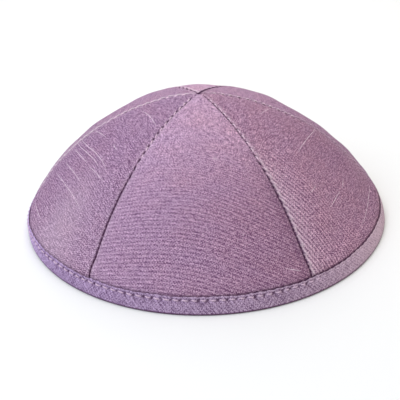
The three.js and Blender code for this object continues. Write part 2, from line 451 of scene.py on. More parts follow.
def zip_chains(outer, inner):
    """Triangles between two chains that share their ends but not their number of points."""
    faces = []
    i = 0
    j = 0
    last_i = len(outer) - 1
    last_j = len(inner) - 1
    while i < last_i or j < last_j:
        if j == last_j or (i < last_i and (i + 1) * last_j <= (j + 1) * last_i):
            faces.append([int(outer[i + 1]), int(outer[i]), int(inner[j])])
            i += 1
        else:
            faces.append([int(outer[i]), int(inner[j]), int(inner[j + 1])])
            j += 1
    return faces


# %% Make an object from points and faces
def make_piece(name, points, faces, material):
    mesh = bpy.data.meshes.new(name)
    mesh.from_pydata((points * MM).tolist(), [], faces)
    mesh.materials.append(material)
    mesh.shade_smooth()
    mesh.set_sharp_from_angle(angle=math.radians(60))
    piece = bpy.data.objects.new(name, mesh)
    bpy.context.scene.collection.objects.link(piece)
    print(f"{name}: {len(mesh.vertices)} points, {len(mesh.polygons)} faces")
    return piece


def map_cloth(piece, flat):
    mesh = piece.data
    corners = np.empty(len(mesh.loops), dtype=np.int64)
    mesh.loops.foreach_get("vertex_index", corners)
    layer = mesh.uv_layers.new(name="cut_cloth")
    layer.data.foreach_set("uv", flat[corners].astype(np.float32).ravel())


def note_on_points(piece, name, values):
    note = piece.data.attributes.new(name, "FLOAT", "POINT")
    note.data.foreach_set("value", np.asarray(values, dtype=np.float32).ravel())


# %% [markdown]
# Nodes for cloth
# All the finishes are built from a few steps: a noise stretched along the threads, a sum of shares, and
# a mix of two colours. They are written once here, so that each material below reads as a recipe.


# %% Node helpers
def new_material(name):
    material = bpy.data.materials.new(name)
    material.use_nodes = True
    tree = material.node_tree
    shader = tree.nodes["Principled BSDF"]
    return material, tree, shader


def plug(tree, socket, value):
    if isinstance(value, bpy.types.NodeSocket):
        tree.links.new(value, socket)
    else:
        socket.default_value = value


def calculate(tree, operation, first, second=0.0):
    node = tree.nodes.new("ShaderNodeMath")
    node.operation = operation
    plug(tree, node.inputs[0], first)
    plug(tree, node.inputs[1], second)
    return node.outputs[0]


def cloth_places(tree, turn=0.0):
    """Places on the cut cloth in millimetres, turned by an angle in degrees."""
    places = tree.nodes.new("ShaderNodeUVMap")
    places.uv_map = "cut_cloth"
    mapping = tree.nodes.new("ShaderNodeMapping")
    mapping.inputs["Rotation"].default_value[2] = math.radians(turn)
    tree.links.new(places.outputs[0], mapping.inputs["Vector"])
    return mapping.outputs[0]


def stretched_noise(tree, places, width, height, detail=2.0):
    """Noise whose spots are width by height millimetres, around 0 instead of 0.5."""
    scale = tree.nodes.new("ShaderNodeVectorMath")
    scale.operation = "MULTIPLY"
    plug(tree, scale.inputs[0], places)
    scale.inputs[1].default_value = (1.0 / width, 1.0 / height, 1.0)
    noise = tree.nodes.new("ShaderNodeTexNoise")
    noise.inputs["Scale"].default_value = 1.0
    noise.inputs["Detail"].default_value = detail
    tree.links.new(scale.outputs[0], noise.inputs["Vector"])
    return calculate(tree, "SUBTRACT", noise.outputs["Fac"], 0.5)


def weighted_sum(tree, start, parts):
    total = start
    for value, weight in parts:
        node = tree.nodes.new("ShaderNodeMath")
        node.operation = "MULTIPLY_ADD"
        plug(tree, node.inputs[0], value)
        plug(tree, node.inputs[1], weight)
        plug(tree, node.inputs[2], total)
        total = node.outputs[0]
    return total


def mix_colours(tree, share, first, second, blend="MIX", clamp=True):
    node = tree.nodes.new("ShaderNodeMix")
    node.data_type = "RGBA"
    node.blend_type = blend
    node.clamp_factor = clamp
    plug(tree, node.inputs["Factor"], share)
    plug(tree, node.inputs["A"], first)
    plug(tree, node.inputs["B"], second)
    return node.outputs["Result"]


def patchy_share(tree, places, width, height, middle, strength):
    """A share that wanders about its middle from patch to patch."""
    return weighted_sum(tree, middle, [(stretched_noise(tree, places, width, height), strength)])


def peaks(tree, value, threshold, steepness=5.0):
    """0 up to the threshold, and rising steeply above it."""
    return calculate(tree, "MULTIPLY", calculate(tree, "SUBTRACT", value, threshold), steepness)


def emboss(tree, shader, height, distance):
    """A bump from a height, where distance is in metres what a height of 1 stands for."""
    bump = tree.nodes.new("ShaderNodeBump")
    bump.inputs["Distance"].default_value = distance
    plug(tree, bump.inputs["Height"], height)
    tree.links.new(bump.outputs["Normal"], shader.inputs["Normal"])


def point_note(tree, name):
    note = tree.nodes.new("ShaderNodeAttribute")
    note.attribute_name = name
    return note.outputs["Fac"]


# %% Threads of a plain weave
def one_axis(tree, places, axis):
    split = tree.nodes.new("ShaderNodeSeparateXYZ")
    tree.links.new(places, split.inputs[0])
    return split.outputs[axis]


def thread_wave(tree, places, axis, pitch):
    turns = calculate(tree, "MULTIPLY", one_axis(tree, places, axis), 2 * math.pi / pitch)
    return calculate(tree, "SINE", turns)


def plain_weave(tree, places, pitch):
    """Over and under: the product of one wave across and one along."""
    across = thread_wave(tree, places, "X", 2 * pitch)
    up = thread_wave(tree, places, "Y", 2 * pitch)
    return calculate(tree, "MULTIPLY", across, up)


# %% [markdown]
# Panel cloth
# The cloth is a silk-like plain weave of uneven yarn, with a thread every 0.6 mm or so. The yarn that
# runs across a panel is thick and thin, so the cloth shows short pale streaks and faint ribs, and the
# colour is a lilac that is never the same in two places. The noises are stretched along the threads
# instead of an image, because they then stay fine at any size. Raw silk hardly shines, so the gloss is
# set almost to nothing and the pale glints of single threads are in the colour.

# %% Panel cloth material
THREAD_PITCH = 0.6
WEAVE_RELIEF = 0.00012
CLOTH_GLOSS = 0.05
cloth_dark = (0.125, 0.037, 0.122, 1.0)
cloth_pale = (0.650, 0.410, 0.580, 1.0)
slub_pink = (0.620, 0.400, 0.540, 1.0)
glint_pale = (0.800, 0.600, 0.740, 1.0)
pink_dye_and_light = (1.000, 0.950, 0.900, 1.0)
blue_dye_and_light = (0.925, 0.965, 1.000, 1.0)
# pale of the painted sheen on rolled seam edges, on strips beside seams and low on the front left panel
sheen_pale = (0.770, 0.630, 0.715, 1.0)
# colour of the painted shade in seams, at the tip, above and under the binding and in needle holes
painted_shade_colour = (0.082, 0.029, 0.076, 1.0)

panel_cloth, tree, shader = new_material("panel_cloth")
places = cloth_places(tree)
weft_yarn = stretched_noise(tree, places, 2.8, 0.46, 1.0)
warp_yarn = stretched_noise(tree, places, 0.46, 2.4, 1.0)
speckle = stretched_noise(tree, places, 0.50, 0.46, 1.0)
blotch = stretched_noise(tree, places, 9.0, 7.0, 2.0)
slub = stretched_noise(tree, places, 16.0, 0.55, 1.0)
woven = plain_weave(tree, places, THREAD_PITCH)
woven_share = patchy_share(tree, places, 2.4, 2.0, 0.55, 3.0)
weave = calculate(tree, "MULTIPLY", woven, woven_share)

# %% Ribs that show in the colour
def broken_lines(tree, phase, strength, places, width, height):
    """Lines with a given phase and strength, broken up by a noise along them."""
    wave = calculate(tree, "SINE", point_note(tree, phase))
    line = calculate(tree, "MULTIPLY", wave, point_note(tree, strength))
    return calculate(tree, "MULTIPLY", line, patchy_share(tree, places, width, height, 0.75, 3.2))


weft_rib = broken_lines(tree, "rib_phase", "rib_share", places, 2.6, 0.8)
warp_rib = broken_lines(tree, "line_phase", "line_share", places, 0.8, 3.0)

# %% Panel colour, roughness and bump
yarns = [(weft_yarn, 1.35), (warp_yarn, 1.25), (speckle, 2.70), (weave, 0.50)]
threads = weighted_sum(tree, 0.0, yarns)
# the points' note paints light and shade over the yarn's texture and the random blotches
shades = [(threads, point_note(tree, "texture")), (blotch, 0.05), (point_note(tree, "light_and_shade"), 1.0)]
colour_share = weighted_sum(tree, 0.5, shades + [(weft_rib, 0.16), (warp_rib, 0.22)])
colour_share = calculate(tree, "MAXIMUM", calculate(tree, "MINIMUM", colour_share, 1.45), 0.06)
undyed = mix_colours(tree, colour_share, cloth_dark, cloth_pale, clamp=False)
# the hue noise is uneven dye, and the points' hue note adds a painted tint of the lamps
hue_noise = stretched_noise(tree, places, 15.0, 11.0, 2.0)
hue_drift = weighted_sum(tree, 0.5, [(hue_noise, 1.15), (point_note(tree, "hue"), 1.0)])
lilac = mix_colours(tree, 1.0, undyed, mix_colours(tree, hue_drift, pink_dye_and_light, blue_dye_and_light), "MULTIPLY")
with_slubs = mix_colours(tree, peaks(tree, slub, 0.20), lilac, slub_pink)
glint = stretched_noise(tree, places, 0.60, 0.42, 0.0)
with_glints = mix_colours(tree, peaks(tree, glint, 0.17), with_slubs, glint_pale)
# painted sheen on the rolled seam edges, on strips beside seams and low on the front left panel
with_sheen = mix_colours(tree, point_note(tree, "pale"), with_glints, sheen_pale)
# painted shade in the seams, at the tip and along the binding
with_painted_shade = mix_colours(tree, point_note(tree, "painted_shade"), with_sheen, painted_shade_colour)
plug(tree, shader.inputs["Base Color"], with_painted_shade)
roughness = weighted_sum(tree, 0.58, [(weft_yarn, 0.25), (warp_yarn, 0.15)])
plug(tree, shader.inputs["Roughness"], roughness)
shader.inputs["Specular IOR Level"].default_value = CLOTH_GLOSS

reliefs = [(weave, 0.35), (weft_yarn, 1.6), (warp_yarn, 1.0), (speckle, 1.0)]
height = weighted_sum(tree, 0.0, reliefs + [(weft_rib, 0.15), (warp_rib, 0.35)])
emboss(tree, shader, height, WEAVE_RELIEF)
print("panel cloth:", len(tree.nodes), "nodes")

# %% [markdown]
# The six panels
# Now each panel is built from its grid: outer skin, inner skin, and the strip of triangles round the
# edge. Notes on the points tell the material where to paint shade into a seam's crease, and where the
# ribs of the weave show, which on the real cap depends on the panel and on how it takes the light.

# %% Build one panel
OUTER_ROWS = np.linspace(TIP, CLOTH_LENGTH - 1.3, 361)
INNER_ROWS = np.linspace(TIP, CLOTH_LENGTH - 1.3, 91)
CREASE_SHADE_REACH = 0.33
BEAD_PITCH = 1.95
PALE_STRIP = 7.0
RIB_SHARE = {"panel_front": 1.25, "panel_front_left": 1.2, "panel_front_right": 0.3}
TEXTURE = {"panel_front": (1.75, 0.72), "panel_front_left": (1.6, 1.30), "panel_front_right": (1.5, 1.2)}
LINE_SHARE = {"panel_front": 0.45, "panel_front_left": 0.5, "panel_front_right": 1.9}
DEEP_LINE_AT = math.radians(300)
FAINT_LINE_AT = math.radians(200)
SHEEN_WALL_AT = math.radians(216)


def binding_crevice_shade(panel, turn, along):
    """The painted shade of the crevice above the binding, deepest at the front right and faint at the left
    end.
    """
    direction = panel["middle"] + turn
    deep = hump(direction, DEEP_LINE_AT, 0.64)
    faint = hump(direction, FAINT_LINE_AT, 0.50)
    stitches = EDGE_STITCHES * direction
    ticks = 0.85 + 0.20 * np.sin(stitches) + 0.15 * np.sin(2.3 * stitches)
    above_binding = CLOTH_LENGTH - BINDING_WIDTH - along
    return (0.58 + 0.42 * deep - 0.50 * faint) * ticks * hump(above_binding, 0.0, 0.34 + 0.30 * deep)


def crease_shade_note(panel, turn, edge, along):
    """Painted shade: dark where the cloth turns down into a seam or under the binding, and at the tip."""
    lower = smooth_step(along / CLOTH_LENGTH, 0.4, 0.6)
    slant = np.sin(stitch_angle(panel, turn, along)) * np.sign(turn) * (1.0 - lower)
    top = smooth_step(30.0 - along, 0.0, 10.0)
    wide = seam_trait(panel, turn, "wide")
    reach = CREASE_SHADE_REACH * (1.0 + wide * np.where(wide < 1.0, lower, top))
    seam = hump(edge, 0.22 * slant, reach) * (1.0 - 0.9 * seam_closed(panel, turn, along))
    tip = seam_trait(panel, turn, "tip")
    tip = tip + (1.0 - tip) * smooth_step(along, 3.0, 8.0)
    beads = 1.0 + lower * (0.12 + 0.45 * np.cos(2 * math.pi * along / BEAD_PITCH))
    dark = seam_trait(panel, turn, "dark")
    dark = np.minimum(dark, 1.0) + np.maximum(dark - 1.0, 0.0) * top
    seam = np.minimum(seam * dark * beads, 1.0) * tip
    # painted shade at the tip, where the points of the panels meet
    seam = np.maximum(seam, 0.95 * smooth_step(1.6 - along, 0.0, 0.7))
    return np.maximum(seam, binding_crevice_shade(panel, turn, along))


def sheen_note(panel, turn, edge, along, lines):
    """Painted sheen: pale where the cloth rolls over beside a seam, most of all on the puffs."""
    share = along / CLOTH_LENGTH
    puffs = 0.7 - 0.3 * stitch_beat(panel, turn, along)
    ridge = 0.75 * hump(edge, 1.1, 0.55) * puffs
    strip = 0.15 * hump(edge, 0.0, PALE_STRIP) * smooth_step(share, 0.3, 0.6) * (1.0 + 1.1 * np.sin(lines))
    wall = 0.22 * hump(panel["middle"] + turn, SHEEN_WALL_AT, 0.23) * smooth_step(share, 0.45, 0.85)
    front_right = np.where(turn < 0, panel["number"], panel["number"] + 1) == 5
    ridge = ridge * np.where(front_right, 0.6 + 0.4 * smooth_step(share, 0.35, 0.5), 1.0)
    strip = strip * np.where(front_right, 1.8, 1.0)
    return seam_trait(panel, turn, "pale") * (ridge + strip) + wall


def rib_shares(panel, turn, edge, along):
    """How clearly the ribs across the panel and the lines down it show."""
    share = along / CLOTH_LENGTH
    ribs = RIB_SHARE.get(panel["name"], 0.4) * smooth_step(share, 0.25, 0.7)
    side = 0.35 + 0.65 * hump(edge, 0.0, 20.0) * (turn < 0)
    lines = LINE_SHARE.get(panel["name"], 0.3) * smooth_step(share, 0.3, 0.65) * side
    return ribs, lines


def light_and_shade_note(panel, turn, edge, along):
    """Painted light and shade: lighter or darker at the top, at the rim, from side to side and beside seams.
    """
    top, low, side = panel["light_and_shade"]
    share = along / CLOTH_LENGTH
    middle = smooth_step(share, 0.1, 0.8)
    sideways = side * np.sin(turn / panel["half"] * math.pi / 2) * smooth_step(share, 0.15, 0.7)
    shaded = seam_trait(panel, turn, "shade") * hump(edge, 0.0, 4.0) * smooth_step(share, 0.35, 0.6)
    return top * (1.0 - middle) + low * middle + sideways - shaded


def texture_note(panel, along):
    """How strongly the uneven yarn shows: more on the crown, where the cloth faces the light."""
    top, low = TEXTURE.get(panel["name"], (1.3, 1.1))
    return top + (low - top) * smooth_step(along / CLOTH_LENGTH, 0.25, 0.6)


def hue_note(panel, turn, along):
    """A painted tint of the lamps: above 0 the lilac leans to blue and below 0 to pink, and it changes across
    the lower half.
    """
    middle, side = panel["hue"]
    lower = 0.4 + 0.6 * smooth_step(along / CLOTH_LENGTH, 0.3, 0.7)
    return middle + side * lower * turn / panel["half"]


def build_panel(panel):
    skins = []
    for rows, columns, steps, lift_of in [
        (OUTER_ROWS, SEAM_COLUMNS, 40, outer_lift),
        (INNER_ROWS, INSIDE_COLUMNS, 9, inner_lift),
    ]:
        turn, edge, along = panel_grid(panel, rows, columns, steps)
        lift = lift_of(panel, turn, edge, along)
        points = dome_point(panel["middle"] + turn, turn / panel["half"], along, lift)
        flat = flat_cloth(panel, turn, along)
        ribs, lines = rib_phase(panel, flat)
        rib_share, line_share = rib_shares(panel, turn, edge, along)
        notes = {
            "painted_shade": crease_shade_note(panel, turn, edge, along),
            "pale": sheen_note(panel, turn, edge, along, lines),
            "rib_phase": ribs,
            "rib_share": rib_share,
            "line_phase": lines,
            "line_share": line_share,
            "light_and_shade": light_and_shade_note(panel, turn, edge, along),
            "texture": texture_note(panel, along),
            "hue": hue_note(panel, turn, along),
        }
        skins.append((points, flat + 200.0 * panel["number"], notes))
    outer_shape = skins[0][0].shape[:2]
    inner_shape = skins[1][0].shape[:2]
    start = outer_shape[0] * outer_shape[1]
    faces = grid_faces(0, *outer_shape, True) + grid_faces(start, *inner_shape, False)
    for outer, inner in zip(border(0, *outer_shape), border(start, *inner_shape)):
        faces += zip_chains(outer, inner)
    points = np.concatenate([skin[0].reshape(-1, 3) for skin in skins])
    piece = make_piece(panel["name"] + "_cloth", points, faces, panel_cloth)
    map_cloth(piece, np.concatenate([skin[1].reshape(-1, 2) for skin in skins]))
    for name in skins[0][2]:
        note_on_points(piece, name, np.concatenate([skin[2][name].ravel() for skin in skins]))
    return piece


# %% Build all panels
for panel in PANELS:
    piece = build_panel(panel)
    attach(piece, "root")
    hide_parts(panel["name"])

# %% [markdown]
# The binding
# A strip cut on the bias is folded over the raw rim and sewn through both leaves near its upper edge.
# Its section is a narrow U with rounded edges. Sweeping a bevelled curve would give that U too, but the
# stitches have to dent it and drag it, so the section is carried round the rim point by point.

# %% Section of the binding
LEAF = 0.50
SLOT = 0.10
FOLD = 0.40
INSIDE_WIDTH = 6.5
OUTSIDE_LIFT = SLOT + LEAF
INSIDE_LIFT = -CLOTH_THICKNESS - SLOT - LEAF
ROLL = 0.9


def arc(centre_up, centre_lift, radius_up, radius_lift, start, end, count):
    angle = np.radians(np.linspace(start, end, count))
    up = centre_up + radius_up * np.sin(angle)
    lift = centre_lift + radius_lift * np.cos(angle)
    return np.stack([up, lift], axis=-1)


def straight(up_start, up_end, lift, count):
    up = np.linspace(up_start, up_end, count)
    return np.stack([up, np.full(count, lift)], axis=-1)


binding_section = np.concatenate(
    [
        arc(BINDING_WIDTH - FOLD, SLOT + LEAF / 2, FOLD, LEAF / 2, 170, 10, 7),
        straight(BINDING_WIDTH - FOLD, ROLL, OUTSIDE_LIFT, 25),
        arc(ROLL, OUTSIDE_LIFT - ROLL, ROLL, ROLL, -12, -90, 7),
        arc(ROLL, INSIDE_LIFT + ROLL, ROLL, ROLL, 270, 192, 7),
        straight(ROLL, INSIDE_WIDTH - FOLD, INSIDE_LIFT, 16),
        arc(INSIDE_WIDTH - FOLD, INSIDE_LIFT + LEAF / 2, FOLD, LEAF / 2, 170, 10, 6),
        straight(INSIDE_WIDTH - FOLD - 0.5, 1.2, INSIDE_LIFT + LEAF, 5),
        straight(1.2, BINDING_WIDTH - FOLD - 0.5, SLOT, 5),
    ]
)
print("points in the binding's section:", len(binding_section))

# %% [markdown]
# Edge stitching
# One row of straight stitches runs a little over a millimetre below the binding's upper edge. Each stitch
# goes into a needle hole at both ends and lies a little aslant, as a lockstitch in twisted thread does.

# %% Where the stitches are
STITCH_LINE = 5.6
STITCH_SLANT = 0.22
SMOOTH_TAPE = math.radians(330)
INNER_SHARE = 0.7
rim_length = 2 * math.pi * (CLOTH_RADIUS + OUTSIDE_LIFT)
stitch_pitch = rim_length / EDGE_STITCHES
hole_number = np.arange(EDGE_STITCHES) + random.uniform(-0.07, 0.07, EDGE_STITCHES)
hole_turn = hole_number * 2 * math.pi / EDGE_STITCHES
hole_up = STITCH_LINE + random.normal(0.0, 0.06, EDGE_STITCHES)
stitch_pull = random.uniform(0.7, 1.3, EDGE_STITCHES)
print(f"edge stitches: {EDGE_STITCHES}, {stitch_pitch:.2f} mm apart")


# %% Dents and drag lines in the binding
def turned_from(turn, other):
    """The angle from one direction to another, the short way round."""
    return np.mod(turn - other + math.pi, 2 * math.pi) - math.pi


def nearest_hole(turn):
    """Distance along the rim to the nearest needle hole, and that hole's height and pull."""
    number = np.round(turn / (2 * math.pi) * EDGE_STITCHES).astype(int) % EDGE_STITCHES
    away = turned_from(turn, hole_turn[number]) * rim_length / (2 * math.pi)
    return away, hole_up[number], stitch_pull[number]


def stitches_show(turn):
    """On the right of the front the thread was drawn into the tape, and its stitches hardly show."""
    return smooth_step(np.abs(turned_from(turn, SMOOTH_TAPE)), math.radians(26), math.radians(38))


def binding_relief(turn, up):
    away, hole, pull = nearest_hole(turn)
    pull = pull * (0.25 + 0.75 * stitches_show(turn))
    groove = -0.20 * hump(up, STITCH_LINE, 0.75)
    dent = -0.38 * pull * hump(np.hypot(away, up - hole), 0.0, 0.55)
    slanted = away + 0.55 * (up - STITCH_LINE)
    fade = hump(up, STITCH_LINE, np.where(up < STITCH_LINE, 2.6, 1.1))
    drag = -0.20 * pull * np.cos(2 * math.pi * slanted / stitch_pitch) * fade
    swell = 0.10 * np.sin(math.pi * np.clip(up / STITCH_LINE, 0.0, 1.0))
    return groove + dent + drag + swell


# %% Binding material
tape_dark = (0.135, 0.062, 0.165, 1.0)
tape_pale = (0.690, 0.490, 0.775, 1.0)
# tints of the painted lamp colour on the tape
tape_warm = (0.960, 1.000, 0.750, 1.0)
tape_cool = (0.930, 0.945, 1.000, 1.0)

binding_cloth, tree, shader = new_material("binding_cloth")
places = cloth_places(tree, 45.0)
weft_yarn = stretched_noise(tree, places, 3.6, 0.44, 1.0)
warp_yarn = stretched_noise(tree, places, 0.44, 3.2, 1.0)
speckle = stretched_noise(tree, places, 0.42, 0.38, 1.0)
blotch = stretched_noise(tree, places, 14.0, 9.0, 2.0)
weave = plain_weave(tree, places, THREAD_PITCH)
bias_line = thread_wave(tree, places, "X", 1.25)
bias_break = patchy_share(tree, places, 3.0, 4.0, 0.6, 3.0)
bias_rib = calculate(tree, "MULTIPLY", bias_line, bias_break)
yarns = [(weft_yarn, 1.2), (warp_yarn, 1.0), (speckle, 1.9), (blotch, 0.2), (weave, 0.12), (bias_rib, 0.17)]
colour_share = weighted_sum(tree, 0.5, yarns + [(point_note(tree, "light_and_shade"), 1.0)])
tape = mix_colours(tree, colour_share, tape_dark, tape_pale)
# painted tint of the lamps: warm on the right of the tape and cool on its left
tape_tint = mix_colours(tree, point_note(tree, "hue"), tape_warm, tape_cool)
tape = mix_colours(tree, 1.0, tape, tape_tint, "MULTIPLY")
# painted shade in the needle holes, along the rolled lower edge and in the slot
with_painted_shade = mix_colours(tree, point_note(tree, "painted_shade"), tape, painted_shade_colour)
plug(tree, shader.inputs["Base Color"], with_painted_shade)
plug(tree, shader.inputs["Roughness"], weighted_sum(tree, 0.62, [(weft_yarn, 0.25), (warp_yarn, 0.2)]))
shader.inputs["Specular IOR Level"].default_value = CLOTH_GLOSS
reliefs = [(weave, 0.4), (weft_yarn, 1.4), (warp_yarn, 1.2), (speckle, 1.0), (bias_rib, 0.25)]
emboss(tree, shader, weighted_sum(tree, 0.0, reliefs), WEAVE_RELIEF)
print("binding cloth:", len(tree.nodes), "nodes")

# %% Carry the section round the rim
SECTIONS = EDGE_STITCHES * 8
section_turn = np.arange(SECTIONS) * 2 * math.pi / SECTIONS
turn, up = np.meshgrid(section_turn, binding_section[:, 0], indexing="ij")
lift = np.repeat(binding_section[None, :, 1], SECTIONS, axis=0)
outside = smooth_step(lift, OUTSIDE_LIFT - 0.45, OUTSIDE_LIFT - 0.05)
inside = smooth_step(-lift, -INSIDE_LIFT - 0.45, -INSIDE_LIFT - 0.05)
relief = binding_relief(turn, up)
lift = lift + relief * outside - INNER_SHARE * relief * inside
away, hole, pull = nearest_hole(turn)
edge_wave = -0.13 * pull * np.cos(2 * math.pi * away / stitch_pitch)
edge_wave += 0.10 * np.sin(turn * 23.0) + 0.08 * np.sin(turn * 41.0 + 1.0)
up = up + edge_wave * smooth_step(up, 5.0, BINDING_WIDTH)
points = rim_point(turn, up, lift).reshape(-1, 3)

# %% Binding object
section_count = len(binding_section)
here = np.arange(SECTIONS)[:, None] * section_count + np.arange(section_count)[None, :]
beside = np.roll(here, -1, axis=1)
faces = np.stack([here, beside, np.roll(beside, -1, axis=0), np.roll(here, -1, axis=0)], axis=-1)
binding = make_piece("rim_binding_cloth", points, faces.reshape(-1, 4)[:, ::-1].tolist(), binding_cloth)
section_step = np.hypot(*np.diff(binding_section, axis=0, prepend=binding_section[:1]).T)
girth = np.cumsum(section_step)
flat = np.stack(np.broadcast_arrays(section_turn[:, None] * rim_length / (2 * math.pi), girth), axis=-1)
map_cloth(binding, flat.reshape(-1, 2))
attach(binding, "root")
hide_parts("rim_binding")

# %% Notes for the tape's colour and its painted light and shade
# painted light on the tape at the far left and at the far right
LIT_TAPE_SIDES = [(331.0, 0.41, 0.09), (198.0, 0.36, 0.035)]
FAINT_MARKS = [(195.0, 0.45, 0.05)]
section_up = binding_section[None, :, 0]
above = section_up - hole
mark_share = 0.12 + 0.88 * stitches_show(turn) - sum_towards(turn, FAINT_MARKS)
# painted shade in each needle hole, slanted like the stitch
needle_hole_shade = hump(away, 0.8 * above, 0.42) * hump(above, 0.0, 0.85)
needle_hole_shade = needle_hole_shade * (outside + inside) * mark_share * (0.55 + 0.75 * (pull - 0.7))
# painted shadow of a slanted drag line below each hole
drag_slit_shade = hump(away + 0.9 * above, -0.3, 0.26) * smooth_step(-above, 0.0, 0.7)
drag_slit_shade = drag_slit_shade * smooth_step(above + 3.4, 0.0, 2.4) * smooth_step(pull, 0.7, 1.2)
needle_hole_shade = np.maximum(needle_hole_shade, 0.9 * drag_slit_shade * outside * mark_share)
# painted shade along the rolled lower edge, where the tape curls under
under = 0.95 * smooth_step(1.20 - section_up, 0.0, 0.60)
# painted shade in the slot between the two leaves
slot_shade = 0.8 * (1.0 - outside) * (1.0 - inside) * smooth_step(section_up, 1.0, 3.0)
# painted highlight along the folded upper edge, and painted shade on the lower part of the tape
tape_lip_light = 0.10 * smooth_step(section_up, 6.1, 6.6) - 0.02 - 0.03 * smooth_step(3.6 - section_up, 0.0, 1.2)
note_on_points(binding, "painted_shade", np.maximum(np.maximum(needle_hole_shade, under), slot_shade))
note_on_points(binding, "light_and_shade", sum_towards(turn, LIT_TAPE_SIDES) + tape_lip_light)
# painted lamp tint, warm at the right and cool at the left
note_on_points(binding, "hue", 0.5 - 0.5 * np.cos(turn))
print("darkest needle mark:", round(float(needle_hole_shade.max()), 2))

# %% Close the tape's map where the ring meets itself
corners = np.empty(len(binding.data.loops) * 2, dtype=np.float32)
binding.data.uv_layers["cut_cloth"].data.foreach_get("uv", corners)
corners = corners.reshape(-1, 4, 2)
split = corners[:, :, 0].max(axis=1) - corners[:, :, 0].min(axis=1) > rim_length / 2
late = corners[split]
late[..., 0] = np.where(late[..., 0] < rim_length / 2, late[..., 0] + rim_length, late[..., 0])
corners[split] = late
binding.data.uv_layers["cut_cloth"].data.foreach_set("uv", corners.ravel())
print("quads across the join:", int(split.sum()))

# %% [markdown]
# Sewing thread
# The thread is a two-ply twist about half a millimetre thick. Each stitch is a small closed tube that
# rises from one needle hole, lies on the cloth and goes down in the next. A bevelled curve could do it,
# but tubes in one mesh keep hundreds of stitches as a single piece.


# %% Tubes
def tube(path, outward, half_width, half_height, sides=8):
    """A closed tube along path. outward is the cloth's normal, and the two halves are its radii."""
    ahead = np.gradient(path, axis=0)
    ahead /= np.linalg.norm(ahead, axis=1)[:, None]
    side = np.cross(ahead, outward)
    side /= np.linalg.norm(side, axis=1)[:, None]
    upright = np.cross(side, ahead)
    angle = np.arange(sides) * 2 * math.pi / sides
    ring = side[:, None, :] * (np.cos(angle)[None, :, None] * np.reshape(half_width, (-1, 1, 1)))
    ring = ring + upright[:, None, :] * (np.sin(angle)[None, :, None] * np.reshape(half_height, (-1, 1, 1)))
    points = (path[:, None, :] + ring).reshape(-1, 3)
    count = len(path)
    faces = []
    for i in range(count - 1):
        for j in range(sides):
            k = (j + 1) % sides
            faces.append([i * sides + j, i * sides + k, (i + 1) * sides + k, (i + 1) * sides + j])
    faces.append(list(range(sides))[::-1])
    faces.append(list(range((count - 1) * sides, count * sides)))
    along = np.concatenate([[0.0], np.cumsum(np.linalg.norm(np.diff(path, axis=0), axis=1))])
    flat = np.stack(np.broadcast_arrays(along[:, None], angle[None, :] / (2 * math.pi)), axis=-1)
    return points, faces, flat.reshape(-1, 2)


def join_tubes(name, tubes, material):
    points = []
    flats = []
    faces = []
    start = 0
    for tube_points, tube_faces, flat in tubes:
        points.append(tube_points)
        flats.append(flat)
        faces += [[start + corner for corner in face] for face in tube_faces]
        start += len(tube_points)
    piece = make_piece(name, np.concatenate(points), faces, material)
    map_cloth(piece, np.concatenate(flats))
    return piece


# %% Thread material
THREAD_TWIST = 0.55
THREAD_RELIEF = 0.00006


def sewing_thread(name, dark, pale):
    material, tree, shader = new_material(name)
    places = cloth_places(tree)
    along = one_axis(tree, places, "X")
    around = one_axis(tree, places, "Y")
    turns = weighted_sum(tree, 0.0, [(along, 2 * math.pi / THREAD_TWIST), (around, 2 * math.pi)])
    twist = calculate(tree, "SINE", turns)
    fibre = stretched_noise(tree, places, 0.3, 0.1, 2.0)
    shade = weighted_sum(tree, 0.5, [(twist, 0.3), (fibre, 0.5)])
    plug(tree, shader.inputs["Base Color"], mix_colours(tree, shade, dark, pale))
    plug(tree, shader.inputs["Roughness"], weighted_sum(tree, 0.5, [(fibre, 0.3)]))
    emboss(tree, shader, weighted_sum(tree, 0.0, [(twist, 0.8), (fibre, 0.5)]), THREAD_RELIEF)
    return material


lilac_thread = sewing_thread("lilac_thread", (0.470, 0.300, 0.450, 1.0), (0.980, 0.760, 0.920, 1.0))
pale_thread = sewing_thread("pale_thread", (0.760, 0.500, 0.670, 1.0), (1.000, 0.800, 0.930, 1.0))

# %% Edge stitches, outside and inside
THREAD_RADIUS = 0.27


def edge_stitch(number, outside_leaf):
    next_turn = hole_turn[(number + 1) % EDGE_STITCHES]
    start = hole_turn[number]
    end = next_turn + (2 * math.pi if next_turn < start - math.pi else 0.0)
    step = np.linspace(0.04, 0.96, 11)
    share = 0.20 + 0.62 * step
    turn = start + (end - start) * share
    next_up = hole_up[(number + 1) % EDGE_STITCHES]
    up = hole_up[number] + (next_up - hole_up[number]) * share + STITCH_SLANT * (0.5 - share) * 2
    bow = np.sin(math.pi * step) ** 0.6
    surface = binding_relief(np.mod(turn, 2 * math.pi), up)
    if outside_leaf:
        lift = OUTSIDE_LIFT + surface + 0.26 * bow - 0.12 - 0.28 * (1.0 - stitches_show(turn))
        raised = lift + 1.0
    else:
        lift = INSIDE_LIFT - INNER_SHARE * surface - 0.16 * bow + 0.12
        raised = lift - 1.0
    path = rim_point(turn, up, lift)
    outward = rim_point(turn, up, raised) - path
    thin = THREAD_RADIUS * (0.55 + 0.45 * bow)
    return tube(path, outward, thin, thin)


stitches = [edge_stitch(number, side) for side in (True, False) for number in range(EDGE_STITCHES)]
edge_stitches = join_tubes("edge_stitches", stitches, lilac_thread)
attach(edge_stitches, "root")

# %% [markdown]
# Seam thread
# Where a seam is under tension it opens a little, and the sewing thread shows as small bars across it.
# They sit higher in the upper half of the cap, where the seams open, and sink towards the rim.

# %% Running stitches in the seams
FIRST_SEAM_STITCH = 7.0
SEAM_THREAD_END = 0.62
SEAM_THREAD_WANDER = 0.25


